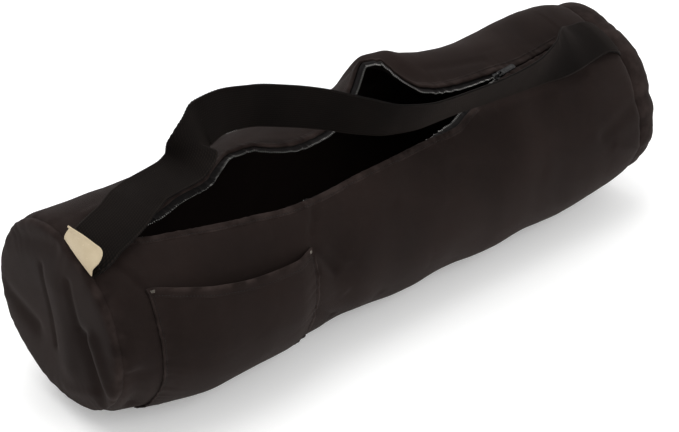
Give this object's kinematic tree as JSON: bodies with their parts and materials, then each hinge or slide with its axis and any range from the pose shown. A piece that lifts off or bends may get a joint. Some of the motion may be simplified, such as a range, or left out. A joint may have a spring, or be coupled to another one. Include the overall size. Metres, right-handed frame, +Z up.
{
  "type": "yoga mat bag",
  "caption": "Long round canvas shoulder bag lying on its side, with its zip mouth part open, a wide arched strap, a patch pocket and a swinging zip pull.",
  "frame": {"origin": "middle of the part's box seen from above, on the surface that the bag lies on", "axes": "+X along the bag towards its swollen right end, +Z up, -Y towards the front with the pocket"},
  "size_m": [0.729, 0.2252, 0.2671],
  "materials": {
    "canvas": "matt plain-woven cotton canvas",
    "webbing": "matt ribbed cotton webbing",
    "zip_teeth": "bright nickel plate",
    "metal": "satin black metal",
    "label_cloth": "matt natural canvas"
  },
  "bodies": {
    "bag": {"body_panel": "canvas", "end_cap_left": "canvas", "end_cap_right": "canvas", "pocket_panel": "canvas", "zip_tape_near": "webbing", "zip_tape_far": "webbing", "zip_teeth_near": "zip_teeth", "zip_teeth_far": "zip_teeth", "zip_slider": "metal", "strap": "webbing", "label": "label_cloth"},
    "pull": {"zip_pull": "metal"}
  },
  "joints": [
    {"name": "pull_swing", "type": "hinge", "parent": "bag", "child": "pull", "pos_m": [0.16009, -0.03093, 0.20063], "axis": [0.0831, -0.9356, -0.3431], "range_deg": [0, 150]}
  ]
}
